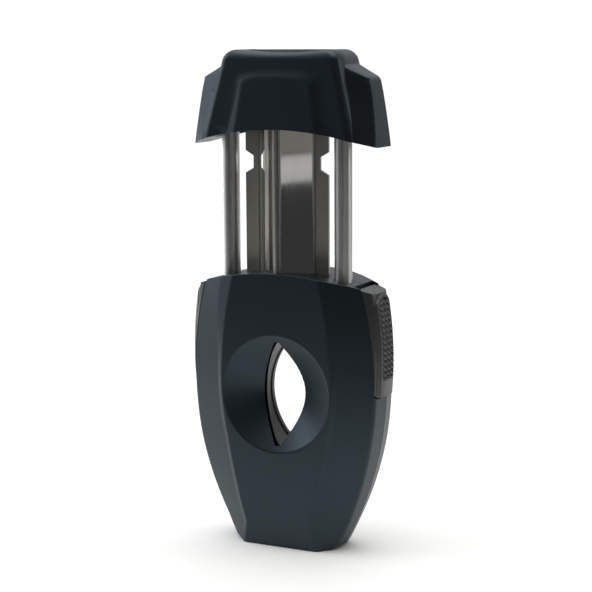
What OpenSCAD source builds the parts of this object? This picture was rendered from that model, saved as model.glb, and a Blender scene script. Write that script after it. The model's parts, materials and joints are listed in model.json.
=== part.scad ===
// Plunger cutter with a V-shaped blade: press the cap down to cut, press a side button and it springs up.
// It stands on its base: +Z up, the cup faces -Y, and the middle plane of the body is y = 0.

/* [Body] */
// Half width of the body at its widest height
body_half_w = 23.6; // [23.4:0.1:24]
// Height of the widest point above the base
body_wide_z = 39; // [38:0.5:40]
// Radius of the curved sides
side_r = 77; // [75:1:80]
// Height of the arched top at its middle
body_top_z = 63.7; // [63.5:0.1:64]
// Radius of the arched top, which the cap's lower rim repeats
arch_r = 71; // [70:1:73]
// Half depth of the body at its raised panels
panel_y = 8.9; // [8.85:0.05:9.1]
// Wall thickness of the two shells
wall = 1.7; // [1.5:0.1:1.8]

/* [Cup] */
// Height of the cup's centre above the base
cup_z = 36.1; // [35.9:0.1:36.3]
// Half width of the slot where the blade crosses the cup
slot_x = 5.2; // [5.1:0.1:5.4]
// Half height of the slot where the blade crosses the cup
slot_h = 12; // [11.8:0.1:12.1]

/* [Plunger] */
// Stroke of the plunger
stroke = 32; // [31.8:0.1:32.2]
// Distance from the middle plane to each rod
rod_x = 14.1; // [14:0.05:14.2]
// Diameter of the rods
rod_d = 4; // [3.9:0.05:4]
// Height of the rods' lower ends with the plunger up
rod_low_z = 42; // [41.8:0.1:42.2]
// Height of the cap's top edge with the plunger up
cap_top_z = 113.4; // [113:0.1:114]

/* [Blade] */
// Sheet thickness of the blade
blade_t = 0.6; // [0.5:0.05:0.6]
// Half width over the blade's flat wings
wing_x = 10.4; // [10.3:0.05:10.4]
// Half width of the V where it meets the wings
vee_x = 6.9; // [6.8:0.05:7]
// Height of the cutting edge with the plunger up
blade_low_z = 49; // [48.9:0.1:49.2]
// Depth of the latch notches in the wings' edges
notch_d = 2; // [1.8:0.1:2.1]

/* [Buttons] */
// Height of a button's lower point
button_low_z = 36; // [35.9:0.1:36.2]
// Height of a button's top face
button_top_z = 61; // [60.9:0.1:61.2]
// Half width of a button across the body's depth
button_y = 4.8; // [4.7:0.05:4.85]
// Height of the buttons' pivot pins
pivot_z = 38.6; // [38.5:0.1:38.8]
// Distance from the middle plane to each pivot pin
pivot_x = 20.2; // [20.1:0.05:20.3]

/* [Hidden] */
$fn = 96;

shell_color = [0.13, 0.16, 0.19];
button_color = [0.33, 0.32, 0.30];
steel_color = [0.66, 0.65, 0.62];
guide_color = [0.50, 0.49, 0.46];
brass_color = [0.72, 0.58, 0.34];

LEFT = -1;
RIGHT = 1;
FRONT = -1;
REAR = 1;
big = 200;
gap = 0.3;                             // clearance round the moving pieces

// Outline of the body
foot_r = 4.2;                          // rounding of the lower corners
foot_x = 11.1;                         // half distance between the roundings' centres
foot_tangent_z = 2.5;                  // height where the roundings meet the curved sides
edge_in = 0.6;                         // draft of the side walls
// Facets at some heights: [height, side wall's half depth, inset and half depth at the outer edge
// of the chamfer band, inset and half depth at its inner edge]
facet_levels = [
    [-0.5, 4.2, 2.4, 6.2, 3.4, 6.9],
    [5.5, 3.6, 7.2, 7.7, 8.2, panel_y - 0.6],
    [14, 4.3, 8.5, panel_y - 0.8, 9.4, panel_y - 0.2],
    [24, 4.8, 8.9, panel_y - 0.6, 9.9, panel_y],
    [31, 4.8, 8.8, panel_y - 0.6, 9.8, panel_y],
    [38, 4.8, 8.6, panel_y - 0.6, 9.7, panel_y],
    [45, 4.8, 8, panel_y - 0.75, 9.7, panel_y],
    [51, 4.8, 7.4, panel_y - 0.9, 9.7, panel_y],
    [58, 4.8, 6.5, panel_y - 1.1, 9.5, panel_y],
    [64, 4.8, 5.4, panel_y - 1.3, 9.2, panel_y]
];

// Blade
wing_y = -1.9;                         // middle of the wings' thickness
wing_front_y = wing_y - blade_t / 2;
wing_back_y = wing_y + blade_t / 2;
nose_y = -8.3;                         // where the V's outer faces would meet
nose_r = 1.3;                          // outer bend radius of the nose
vee_rise = (wing_front_y - nose_y) / vee_x;
vee_shift = blade_t * sqrt(1 + vee_rise * vee_rise);
vee_angle = atan(1 / vee_rise);        // half the angle of the V
bend_y = nose_y + nose_r / sin(vee_angle);
vee_top_z = 98.3;                      // the V ends here; the wings run on up to blade_top_z
blade_top_z = 104;
notch_low_z = 53.6;                    // lower end of the lower notch; the upper one is a stroke above
notch_tall = 5.2;

// The blade's channel crosses the cup's cone at slot_x on its sides and at slot_h on its nose line
channel_nose_y = nose_y - 0.2;
channel_flat_y = bend_y - nose_r - 0.15;
slot_y = channel_nose_y + slot_x * vee_rise;
cone_rise = (slot_y - channel_flat_y) / (slot_h - slot_x);
cup_mouth_r = slot_h + (channel_flat_y + panel_y) / cone_rise;
eye_r = (slot_h * slot_h + slot_x * slot_x) / (2 * slot_x);
rear_mouth_r = 13.6;
rear_deep_r = 11.8;
rear_deep_y = 1.3;

// Rods and springs
rod_y = -2.4;
rod_top_z = 104;
rod_bore_d = 2.9;
rod_bore_top_z = 101;
collar_d = 5.2;
collar_low_z = 43;
collar_tall = 1.9;
bushing_d = 5.6;
bushing_low_z = 45;
bushing_top_z = 51;
run_gap = 0.04;                        // radial running clearance of rods and pins
boss_low_z = 7.5;
boss_top_z = 9;
bore_low_z = 10.7;                     // the collars need the wider bore only above this height
pin_top_z = 40;
spring_wire_r = 0.2;
spring_turns = 24;
spring_steps = 9;                      // rings per turn
spring_sides = 5;

// Buttons
button_in_x = 18.8;                    // inner face
button_out_r = 85;                     // radius of the outer face
button_out_x = 24.2;                   // furthest point of the outer face
button_out_z = 44;                     // height of that point
pivot_half = 5.4;                      // half length of a pivot pin

// Latch
hook_z = 56.2;                         // level of the pegs and hooks
latch_t = 1;
latch_low_z = 53.6;
latch_top_z = 58.4;
latch_end_x = 18.5;
hook_x = wing_x + 0.1;                 // inner face of a hook when the button is at rest
hook_t = 0.7;
hook_half = 1.6;
peg_x = 17.7;
peg_r = 0.5;
pad_pitch = 1.3;                       // spacing of the ridges on a grip pad
pad_half = 2.9;                        // half width of a grip pad
tray_y = 2.2;

// Cap
cap_rim_z = body_top_z + stroke + 0.15;
cap_low_x = 22.9;
cap_low_z = 91;
shoulder_x = 20.7;
shoulder_z = 107.2;
neck_x = 17.8;
neck_z = 109.2;
tier_low_x = 20.2;
tier_top_x = 13.2;
tier_y = 8.3;
tier_top_y = 6.3;
wing_low_y = 3.6;
badge_low_x = 10.6;
badge_top_x = 8;
badge_top_z = 108;
dish_r = 120;
dish_deep = 0.7;
insert_low_z = 98.5;
insert_top_z = 104.5;
insert_front_y = -4.8;

// Housing screws and locating pins, placed as [x, z] on the right side
screw_spots = [[8.5, 6.5], [18.9, 26.5]];
screw_d = 2;
screw_head_d = 3.6;
screw_head_y = [5.4, 4.2];             // where the heads' recesses start
pin_spot = [4.5, 15];
pin_d = 1.8;

// Front face of a latch plate: the left one runs behind the right one
function latch_start(side) = side == RIGHT ? 0 : latch_t + 0.1;

// Extrudes an outline drawn in X and Z between two planes of constant Y
module slab(y0, y1) {
    translate([0, y1, 0])
        rotate([90, 0, 0])
            linear_extrude(height = y1 - y0)
                children();
}

// A round bar along Y
module bar_y(x, z, y0, y1, d) {
    translate([x, y0, z])
        rotate([-90, 0, 0])
            cylinder(h = y1 - y0, d = d);
}

// A round bar along Z
module bar_z(x, y, z0, z1, d) {
    translate([x, y, z0])
        cylinder(h = z1 - z0, d = d);
}

// A box between two corners
module box(low, high) {
    translate(low)
        cube(high - low);
}

// Front outline of the body, moved inwards by inset
module body_outline(inset = 0) {
    intersection() {
        translate([body_half_w - side_r, body_wide_z])
            circle(r = side_r - inset, $fn = 4 * $fn);
        translate([side_r - body_half_w, body_wide_z])
            circle(r = side_r - inset, $fn = 4 * $fn);
        translate([0, body_top_z - arch_r])
            circle(r = arch_r - inset, $fn = 4 * $fn);
        union() {
            translate([-foot_x, inset])
                square([2 * foot_x, foot_r]);
            translate([-big / 2, foot_tangent_z])
                square([big, big]);
            for (side = [LEFT, RIGHT])
                translate([side * foot_x, foot_r])
                    circle(r = max(foot_r - inset, 0.2));
        }
    }
}

// Half width of the body at a height, from the curved sides
function side_w(z) = sqrt(side_r * side_r - pow(z - body_wide_z, 2)) - side_r + body_half_w;

// Facets of one half of the body, in from the outline by inset; start is where the half begins
module facets(face, inset = 0, start = 0) {
    hull()
        for (level = facet_levels)
            translate([0, 0, level[0]])
                linear_extrude(height = 0.02)
                    for (side = [LEFT, RIGHT])
                        polygon([
                            [0, -face * start],
                            [side * (side_w(level[0]) - inset + 0.2), -face * start],
                            [side * (side_w(level[0]) - edge_in - inset), face * (level[1] - inset)],
                            [side * (side_w(level[0]) - level[2] - inset / 2), face * (level[3] - inset)],
                            [side * (side_w(level[0]) - level[4] - inset / 2), face * (level[5] - inset)],
                            [0, face * (level[5] - inset)]
                        ]);
}

// Outer shape of one half of the body: drafted sides, facets, chamfer bands and a raised panel
module half_body(face) {
    intersection() {
        facets(face);
        slab(-10, 10)
            body_outline();
    }
}

// Hollow inside one half of the body
module half_hollow(face) {
    intersection() {
        facets(face, wall, start = 0.6);
        slab(-10, 10)
            body_outline(wall);
    }
}

// Openings in the side walls that the buttons fill
module button_opening() {
    for (side = [LEFT, RIGHT])
        scale([side, 1, 1])
            box([button_in_x - 1.1, -button_y - gap, button_low_z - gap], [30, button_y + gap, 70]);
}

// Shape of the blade's path: the blade's cross-section with clearance, seen from above
module channel_section() {
    back = wing_back_y + 0.15;
    reach = wing_x + gap;
    front = wing_front_y - 0.25;
    flank_x = (front - channel_nose_y) / vee_rise;
    flat_x = (channel_flat_y - channel_nose_y) / vee_rise;
    polygon([
        [-reach, front], [-flank_x, front], [-flat_x, channel_flat_y], [flat_x, channel_flat_y],
        [flank_x, front], [reach, front], [reach, back], [-reach, back]
    ]);
}

// Eye-shaped slot outline, made of two arcs
module eye(inset = 0) {
    intersection() {
        translate([eye_r - slot_x, cup_z])
            circle(r = eye_r - inset, $fn = 2 * $fn);
        translate([slot_x - eye_r, cup_z])
            circle(r = eye_r - inset, $fn = 2 * $fn);
    }
}

// A cone about the cup's axis between two planes of constant Y
module cone_y(y0, y1, r0, r1) {
    translate([0, y0, cup_z])
        rotate([-90, 0, 0])
            cylinder(h = y1 - y0, r1 = r0, r2 = r1);
}

// Conical cup in the front face
module cup_hollow() {
    deep_y = slot_y + 1.2;
    deep_r = slot_x - (deep_y - slot_y) / cone_rise;
    cone_y(-panel_y - 1, deep_y, cup_mouth_r + 1 / cone_rise, deep_r);
}

// Wall of the funnel inside the front shell
module cup_wall() {
    deep_y = slot_y + 0.9;
    deep_r = slot_x - (deep_y - slot_y) / cone_rise;
    cone_y(-panel_y + 0.6, deep_y, cup_mouth_r + 1.6, deep_r + 3.2);
}

// Shank and head of one housing screw, along +Z here; cut makes the hole for it instead
module screw_part(head_y, cut = false) {
    translate([0, 0, -3.6])
        cylinder(h = head_y + 3.6, d = screw_d);
    translate([0, 0, head_y])
        difference() {
            cylinder(h = cut ? 9 : 1.1, d = screw_head_d + (cut ? 0.2 : 0));
            if (!cut)
                translate([0, 0, 0.4])
                    cylinder(h = 1, d = 1.7, $fn = 6);
        }
}

module screw_holes() {
    for (side = [LEFT, RIGHT], i = [0, 1])
        translate([side * screw_spots[i][0], 0, screw_spots[i][1]])
            rotate([-90, 0, 0])
                screw_part(screw_head_y[i], cut = true);
}

// Blocks and posts inside the front shell
module front_features() {
    cup_wall();
    for (side = [LEFT, RIGHT]) {
        // boss under the guide pin
        box([side * rod_x - 2.4, -7, 2], [side * rod_x + 2.4, 0, boss_top_z]);
        // rib round the bushing
        box([side * rod_x - 3.4, -7, bushing_low_z + 0.6],
            [side * rod_x + 3.4, 0, bushing_top_z - 0.4]);
        // bearing block of the pivot pin
        box([side * pivot_x - 1.6, -6, pivot_z - 1.6],
            [side * pivot_x + 1.6, -button_y - gap, pivot_z + 1.6]);
        bar_y(side * pin_spot[0], pin_spot[1], -8, 0, 3.6);
        for (spot = screw_spots)
            bar_y(side * spot[0], spot[1], -6, 0, 4);
    }
}

module front_shell() {
    color(shell_color)
        difference() {
            union() {
                difference() {
                    half_body(FRONT);
                    half_hollow(FRONT);
                }
                intersection() {
                    front_features();
                    half_body(FRONT);
                }
            }
            cup_hollow();
            slab(-10, 1)
                eye(0.25);
            translate([0, 0, blade_low_z - stroke - 1.5])
                linear_extrude(height = 60)
                    channel_section();
            button_opening();
            screw_holes();
            for (side = [LEFT, RIGHT]) {
                bar_z(side * rod_x, rod_y, bushing_low_z - 1, bushing_top_z + 20, rod_d + 0.3);
                bar_z(side * rod_x, rod_y, bushing_low_z, bushing_top_z, bushing_d);
                bar_z(side * rod_x, rod_y, bore_low_z, bushing_low_z + 0.1, bushing_d);
                bar_z(side * rod_x, rod_y, boss_top_z, bore_low_z + 0.1, rod_d + 0.4);
                bar_z(side * rod_x, rod_y, boss_low_z - 2, boss_top_z + 1, 1.2);
                bar_y(side * pin_spot[0], pin_spot[1], -4, 1, pin_d);
                bar_y(side * pivot_x, pivot_z, -pivot_half - 0.05, 0, 1.6);
            }
            // path of the latch plates and of their hooks
            box([-18.6, -2.8, 53.2], [18.6, 1, 58.9]);
        }
}

// Posts and blocks inside the rear shell
module rear_features() {
    cone_y(rear_deep_y, panel_y, rear_deep_r + 1.5, rear_mouth_r + 1.5);
    for (side = [LEFT, RIGHT]) {
        for (spot = screw_spots)
            bar_y(side * spot[0], spot[1], 0, 7, 4.6);
        bar_y(side * pin_spot[0], pin_spot[1], 1.3, 8, 3.6);
        box([side * pivot_x - 1.6, button_y + gap, pivot_z - 1.6],
            [side * pivot_x + 1.6, 6, pivot_z + 1.6]);
    }
}

module rear_shell() {
    color(shell_color)
        difference() {
            union() {
                difference() {
                    half_body(REAR);
                    half_hollow(REAR);
                }
                intersection() {
                    rear_features();
                    half_body(REAR);
                }
            }
            cone_y(rear_deep_y - 1, panel_y + 1, rear_deep_r - 0.3, rear_mouth_r + 0.3);
            button_opening();
            screw_holes();
            for (side = [LEFT, RIGHT]) {
                bar_z(side * rod_x, rod_y, bore_low_z, 70, bushing_d);
                bar_z(side * rod_x, rod_y, boss_low_z, bore_low_z + 0.1, rod_d + 0.4);
                bar_y(side * pin_spot[0], pin_spot[1], 0, 6, pin_d);
                bar_y(side * pivot_x, pivot_z, 0, pivot_half + 0.05, 1.6);
            }
            // room for the latch plates, their tray and the guide block
            box([-18.4, -1, 52.1], [18.4, 3.1, 59.3]);
            box([-10.5, -1, 17.9], [10.5, 1.25, 52.2]);
        }
}

// Steel block behind the blade: a V-shaped ridge with the eye-shaped slot through it
module blade_guide() {
    front_y = wing_back_y + 0.15;
    ridge_y = nose_y + vee_shift + 0.2;
    flat_y = ridge_y + 0.7;
    flank_x = (front_y - ridge_y) / vee_rise;
    flat_x = (flat_y - ridge_y) / vee_rise;
    color(guide_color)
        difference() {
            translate([0, 0, 18])
                linear_extrude(height = 34)
                    polygon([
                        [-10.4, front_y], [-flank_x, front_y], [-flat_x, flat_y], [flat_x, flat_y],
                        [flank_x, front_y], [10.4, front_y], [10.4, 1.2], [-10.4, 1.2]
                    ]);
            slab(-10, 5)
                eye();
        }
}

// Tray behind the two latch plates, with the ledge they slide on
module latch_tray() {
    color(guide_color)
        union() {
            box([-15.5, tray_y, 52.2], [15.5, tray_y + 0.8, 59]);
            box([-10.3, 0, 52.2], [10.3, tray_y, latch_low_z - 0.1]);
        }
}

module bushing(side) {
    color(brass_color)
        difference() {
            bar_z(side * rod_x, rod_y, bushing_low_z, bushing_top_z, bushing_d);
            bar_z(side * rod_x, rod_y, bushing_low_z - 1, bushing_top_z + 1, rod_d + 2 * run_gap);
        }
}

module guide_pin(side) {
    color(steel_color)
        bar_z(side * rod_x, rod_y, boss_low_z - 2, pin_top_z, 1.2);
}

module pivot_pin(side) {
    color(steel_color)
        bar_y(side * pivot_x, pivot_z, -pivot_half, pivot_half, 1.6);
}

// Points of a helix about +Z: one ring of wire points for every step
function helix_point(i, k, r, pitch, steps, sides, wire) =
    let (turn = 360 * i / steps, around = 360 * k / sides)
    [
        (r + wire * cos(around)) * cos(turn),
        (r + wire * cos(around)) * sin(turn),
        pitch * i / steps + wire * sin(around)
    ];

// Coil spring along +Z that starts at z = 0
module coil(r, tall, turns, steps, sides, wire) {
    rings = turns * steps;
    pitch = (tall - 2 * wire) / turns;
    points = [
        for (i = [0 : rings], k = [0 : sides - 1])
            helix_point(i, k, r, pitch, steps, sides, wire)
    ];
    skin = [
        for (i = [0 : rings - 1], k = [0 : sides - 1])
            let (a = i * sides + k, b = i * sides + (k + 1) % sides)
            each [[a, b, b + sides], [a, b + sides, a + sides]]
    ];
    start = [[for (k = [sides - 1 : -1 : 0]) k]];
    end = [[for (k = [0 : sides - 1]) rings * sides + k]];
    translate([0, 0, wire])
        polyhedron(points = points, faces = concat(skin, start, end));
}

// Torsion spring round a pivot pin, beside the button's hinge eye
module torsion_spring(side) {
    color(steel_color)
        translate([side * pivot_x, -4, pivot_z])
            rotate([-90, 0, 0])
                coil(r = 1.25, tall = 1.4, turns = 2, steps = 12, sides = 6, wire = spring_wire_r);
}

module housing_screws() {
    color(steel_color)
        for (side = [LEFT, RIGHT], i = [0, 1])
            translate([side * screw_spots[i][0], 0, screw_spots[i][1]])
                rotate([-90, 0, 0])
                    screw_part(screw_head_y[i]);
}

module locating_pins() {
    color(steel_color)
        for (side = [LEFT, RIGHT])
            bar_y(side * pin_spot[0], pin_spot[1], -3.9, 5.9, pin_d);
}

// Front outline of the cap's side wings
module cap_wing_outline(inset = 0) {
    polygon([
        [-cap_low_x + inset, cap_low_z], [-shoulder_x + inset, shoulder_z - inset / 2],
        [-neck_x + inset / 2, neck_z - inset], [neck_x - inset / 2, neck_z - inset],
        [shoulder_x - inset, shoulder_z - inset / 2], [cap_low_x - inset, cap_low_z]
    ]);
}

// Thin horizontal slice of the cap's middle tier
module tier_slice(z, half_x, half_y) {
    translate([-half_x, -half_y, z])
        cube([2 * half_x, 2 * half_y, 0.01]);
}

// Middle tier of the cap; inset moves its faces inwards
module cap_tier(inset = 0) {
    hull() {
        tier_slice(cap_low_z, tier_low_x - inset, tier_y - inset);
        tier_slice(cap_top_z - 1 - inset, tier_top_x + 0.4 - inset, tier_top_y + 0.2 - inset);
        tier_slice(cap_top_z - inset, tier_top_x - 0.7 - inset, tier_top_y - 0.8 - inset);
    }
}

// Raised panel on one face of the cap
module cap_badge() {
    hull() {
        tier_slice(cap_low_z, badge_low_x, panel_y);
        tier_slice(badge_top_z - 1, badge_top_x, 7.4);
        tier_slice(badge_top_z, badge_top_x - 3.5, 7);
    }
}

module cap() {
    color(shell_color)
        difference() {
            union() {
                hull() {
                    slab(-wing_low_y, wing_low_y)
                        cap_wing_outline();
                    slab(-wing_low_y - 1.6, wing_low_y + 1.6)
                        cap_wing_outline(inset = 2.4);
                }
                cap_tier();
                cap_badge();
            }
            // arched rim that closes on the body's top
            bar_y(0, cap_rim_z - arch_r, -20, 20, 2 * arch_r);
            // shallow dish in the top
            bar_y(0, cap_top_z - dish_deep + dish_r, -20, 20, 2 * dish_r);
            // hollow under the cap
            difference() {
                union() {
                    box([-17.25, insert_front_y - 0.05, 80], [17.25, 3.45, insert_top_z]);
                    cap_tier(inset = 1.9);
                }
                box([-30, -20, insert_top_z], [30, 20, 130]);
            }
            // room for the blade's V behind the raised panel
            translate([0, 0, 80])
                linear_extrude(height = vee_top_z + 0.2 - 80)
                    channel_section();
            for (side = [LEFT, RIGHT])
                bar_z(side * 4.6, 1.6, insert_top_z - 1, insert_top_z + 4, screw_d);
        }
}

// Points of the nose's bend from left to right, on a radius r
function nose_arc(r, steps = 6) = [
    for (i = [0 : steps])
        let (turn = (90 - vee_angle) * (2 * i / steps - 1))
        [r * sin(turn), bend_y - r * cos(turn)]
];

function reversed(list) = [for (i = [len(list) - 1 : -1 : 0]) list[i]];

// Cross-section of the folded blade, seen from above
module blade_section() {
    vee_inner_x = (wing_back_y - nose_y - vee_shift) / vee_rise;
    polygon(concat(
        [[-wing_x, wing_front_y], [-vee_x, wing_front_y]],
        nose_arc(nose_r),
        [[vee_x, wing_front_y], [wing_x, wing_front_y]],
        [[wing_x, wing_back_y], [vee_inner_x, wing_back_y]],
        reversed(nose_arc(nose_r - blade_t)),
        [[-vee_inner_x, wing_back_y], [-wing_x, wing_back_y]]
    ));
}

// Outline of one latch notch in the edge of the right wing
module notch_outline(low_z) {
    polygon([
        [wing_x - notch_d, low_z + notch_d * 0.6], [wing_x + 0.1, low_z],
        [wing_x + 0.1, low_z + notch_tall], [wing_x - notch_d, low_z + notch_tall - notch_d * 0.6]
    ]);
}

module v_blade() {
    color(steel_color)
        difference() {
            translate([0, 0, blade_low_z])
                linear_extrude(height = blade_top_z - blade_low_z)
                    blade_section();
            for (side = [LEFT, RIGHT])
                scale([side, 1, 1]) {
                    for (low_z = [notch_low_z, notch_low_z + stroke])
                        slab(-4, 0)
                            notch_outline(low_z);
                    bar_y(8.8, 101.5, -4, 0, 1.5);
                }
            // the V ends under the cap's insert
            box([-vee_x + 0.2, -10, vee_top_z], [vee_x - 0.2, 0, blade_top_z + 1]);
            // ground lower edge: a thinner strip left at the front of the sheet
            translate([0, 0.3, blade_low_z - 1])
                linear_extrude(height = 1.6)
                    blade_section();
        }
}

module cap_insert() {
    color(guide_color)
        difference() {
            box([-17.2, insert_front_y, insert_low_z], [17.2, 3.4, insert_top_z - 0.01]);
            for (side = [LEFT, RIGHT]) {
                bar_z(side * rod_x, rod_y, insert_low_z - 1, rod_top_z, rod_d);
                bar_z(side * 4.6, 1.6, insert_low_z - 1, insert_top_z + 1, screw_d);
                bar_z(side * 4.6, 1.6, insert_low_z - 1, insert_low_z + 1.2, screw_head_d);
                bar_y(side * 8.8, 101.5, -5, 1, 1.5);
            }
            // slot that holds the blade's upper end
            translate([0, 0, insert_low_z - 1])
                linear_extrude(height = blade_top_z - insert_low_z + 1)
                    blade_section();
        }
}

module cap_screws() {
    color(steel_color)
        for (side = [LEFT, RIGHT])
            translate([side * 4.6, 1.6, insert_low_z]) {
                cylinder(h = insert_top_z + 3.5 - insert_low_z, d = screw_d);
                difference() {
                    cylinder(h = 1.2, d = screw_head_d);
                    translate([0, 0, -0.5])
                        cylinder(h = 1.2, d = 1.7, $fn = 6);
                }
            }
}

module blade_pins() {
    color(steel_color)
        for (side = [LEFT, RIGHT])
            bar_y(side * 8.8, 101.5, insert_front_y + 0.1, 0.9, 1.5);
}

module rod(side) {
    color(steel_color)
        difference() {
            bar_z(side * rod_x, rod_y, rod_low_z, rod_top_z, rod_d);
            bar_z(side * rod_x, rod_y, rod_low_z - 1, rod_bore_top_z, rod_bore_d);
        }
}

module stop_collar(side) {
    color(steel_color)
        difference() {
            bar_z(side * rod_x, rod_y, collar_low_z, collar_low_z + collar_tall, collar_d);
            bar_z(side * rod_x, rod_y, collar_low_z - 1, collar_low_z + 3, rod_d);
        }
}

module return_spring(side) {
    color(steel_color)
        translate([side * rod_x, rod_y, boss_top_z + 0.02])
            coil(r = 1.1, tall = rod_bore_top_z - boss_top_z - 0.04, turns = spring_turns,
                 steps = spring_steps, sides = spring_sides, wire = spring_wire_r);
}

// Outline of a button in X and Z, seen from the front; shrink moves its outer face and its point inwards
module button_outline(shrink = 0) {
    intersection() {
        translate([button_out_x - button_out_r - shrink, button_out_z])
            circle(r = button_out_r, $fn = 192);
        translate([button_in_x, button_low_z + shrink])
            square([12, button_top_z - button_low_z - shrink]);
    }
}

// Outer shape of the right button, cut off just under the cap's rim
module button_block() {
    intersection() {
        hull() {
            slab(-button_y, button_y)
                button_outline(1.7);
            slab(-button_y + 1.4, button_y - 1.4)
                button_outline();
        }
        bar_y(0, body_top_z - arch_r, -10, 10, 2 * (arch_r - 0.35));
    }
}

// Outline of a grip pad, seen from the side: an arched top over a straight strip
module pad_outline() {
    hull() {
        translate([0, 55.8])
            circle(r = pad_half, $fn = 32);
        translate([-pad_half, 40.6])
            square([2 * pad_half, 1]);
    }
}

// Pocket of a grip pad in the right button; deep is measured in from the button's outer face
module pad_pocket(deep) {
    difference() {
        translate([button_in_x, 0, 0])
            rotate([90, 0, 90])
                linear_extrude(height = 10)
                    pad_outline();
        slab(-6, 6)
            translate([button_out_x - button_out_r - deep, button_out_z])
                circle(r = button_out_r, $fn = 4 * $fn);
    }
}

module button(side) {
    color(button_color)
        scale([side, 1, 1])
            difference() {
                union() {
                    difference() {
                        button_block();
                        pad_pocket(0.9);
                    }
                    // inner arm that carries the peg
                    box([peg_x - 0.6, -1.8, hook_z - 1.6], [button_in_x + 0.4, -0.15, hook_z + 1.6]);
                    bar_y(peg_x, hook_z, -0.5, latch_start(side) + latch_t + 0.1, 2 * peg_r);
                }
                bar_y(pivot_x, pivot_z, -10, 10, 1.6 + 2 * run_gap);
                // room for the torsion spring
                bar_y(pivot_x, pivot_z, -5, -2.5, 3.6);
                box([button_in_x - 1, -5, pivot_z - 1.8], [pivot_x, -2.5, pivot_z + 1.8]);
            }
}

// Distance of a ridge's centre from the middle plane at a height on the pad
function ridge_x(z) = button_out_x - 0.6 - pow(z - button_out_z, 2) / (2 * button_out_r);

// Textured pad let into a button: rows of small ridges across it
module grip_pad(side) {
    color(button_color)
        scale([side, 1, 1])
            intersection() {
                pad_pocket(0.9);
                union() {
                    slab(-6, 6)
                        translate([button_out_x - button_out_r - 0.5, button_out_z])
                            circle(r = button_out_r, $fn = 4 * $fn);
                    for (z = [41.3 : pad_pitch : 58.5])
                        bar_y(ridge_x(z), z, -4, 4, 0.7);
                }
            }
}

// Plate that carries a hook from one button across to the other wing
module latch(side) {
    start_y = latch_start(side);
    color(steel_color)
        scale([side, 1, 1])
            difference() {
                union() {
                    box([-hook_x - hook_t, start_y, latch_low_z],
                        [latch_end_x, start_y + latch_t, latch_top_z]);
                    box([-hook_x - hook_t, wing_front_y - 0.2, hook_z - hook_half],
                        [-hook_x, start_y + 0.1, hook_z + hook_half]);
                }
                box([peg_x - peg_r - 0.04, start_y - 1, hook_z - peg_r - 0.4],
                    [peg_x + peg_r + 0.04, start_y + 2, hook_z + peg_r + 0.4]);
                // window for the other latch's hook
                if (side == RIGHT)
                    box([hook_x - 1.9, start_y - 1, hook_z - hook_half - 0.2],
                        [hook_x + hook_t + 1.9, start_y + 2, hook_z + hook_half + 0.2]);
            }
}

front_shell();
rear_shell();
blade_guide();
latch_tray();
bushing(LEFT);  // bushing_left
bushing(RIGHT);  // bushing_right
guide_pin(LEFT);  // guide_pin_left
guide_pin(RIGHT);  // guide_pin_right
pivot_pin(LEFT);  // pivot_pin_left
pivot_pin(RIGHT);  // pivot_pin_right
torsion_spring(LEFT);  // torsion_spring_left
torsion_spring(RIGHT);  // torsion_spring_right
housing_screws();
locating_pins();
cap();
cap_insert();
cap_screws();
v_blade();
blade_pins();
rod(LEFT);  // rod_left
rod(RIGHT);  // rod_right
stop_collar(LEFT);  // stop_collar_left
stop_collar(RIGHT);  // stop_collar_right
return_spring(LEFT);  // return_spring_left
return_spring(RIGHT);  // return_spring_right
button(LEFT);  // button_left
button(RIGHT);  // button_right
grip_pad(LEFT);  // grip_pad_left
grip_pad(RIGHT);  // grip_pad_right
latch(LEFT);  // latch_left
latch(RIGHT);  // latch_right
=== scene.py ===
"""Finish for a plunger cutter with a V-shaped blade: detailed shells, cap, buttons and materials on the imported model."""
import contextlib
import json
import math

import bmesh
import bpy
from mathutils import Matrix, Vector

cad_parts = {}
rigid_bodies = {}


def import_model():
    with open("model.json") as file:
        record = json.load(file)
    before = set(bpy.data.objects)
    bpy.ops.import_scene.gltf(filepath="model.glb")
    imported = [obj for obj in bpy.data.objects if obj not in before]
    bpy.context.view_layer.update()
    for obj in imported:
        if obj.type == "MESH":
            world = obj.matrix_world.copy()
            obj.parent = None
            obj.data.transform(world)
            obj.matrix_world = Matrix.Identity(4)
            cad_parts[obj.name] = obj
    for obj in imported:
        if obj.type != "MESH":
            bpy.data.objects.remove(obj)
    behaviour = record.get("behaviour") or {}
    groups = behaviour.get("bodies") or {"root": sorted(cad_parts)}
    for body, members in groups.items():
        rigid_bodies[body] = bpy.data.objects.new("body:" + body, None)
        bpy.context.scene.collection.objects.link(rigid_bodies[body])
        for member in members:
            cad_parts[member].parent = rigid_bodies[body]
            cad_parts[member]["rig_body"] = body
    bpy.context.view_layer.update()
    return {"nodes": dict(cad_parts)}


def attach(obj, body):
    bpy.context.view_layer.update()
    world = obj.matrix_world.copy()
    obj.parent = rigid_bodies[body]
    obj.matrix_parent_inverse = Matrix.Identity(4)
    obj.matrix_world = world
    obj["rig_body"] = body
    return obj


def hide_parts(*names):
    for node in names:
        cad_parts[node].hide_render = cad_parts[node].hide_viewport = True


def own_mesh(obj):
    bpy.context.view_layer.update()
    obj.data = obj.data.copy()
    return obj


bl_info = {
    "name": "V Cutter Finish",
    "version": (1, 0, 0),
    "blender": (4, 5, 0),
    "location": "3D View > Sidebar > Cutter",
    "description": "Builds the detailed surfaces, materials and stage of a plunger cutter",
    "category": "Object",
}

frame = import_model()

MM = 0.001
FRONT, REAR = -1, 1
LEFT, RIGHT = -1, 1

# Body, in millimetres
SIDE_R = 77.0
WIDE_Z = 39.0
FOOT_R, FOOT_X = 4.2, 11.1
ARCH_R = 71.0
EDGE_IN = 0.6
WALL = 1.7
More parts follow.
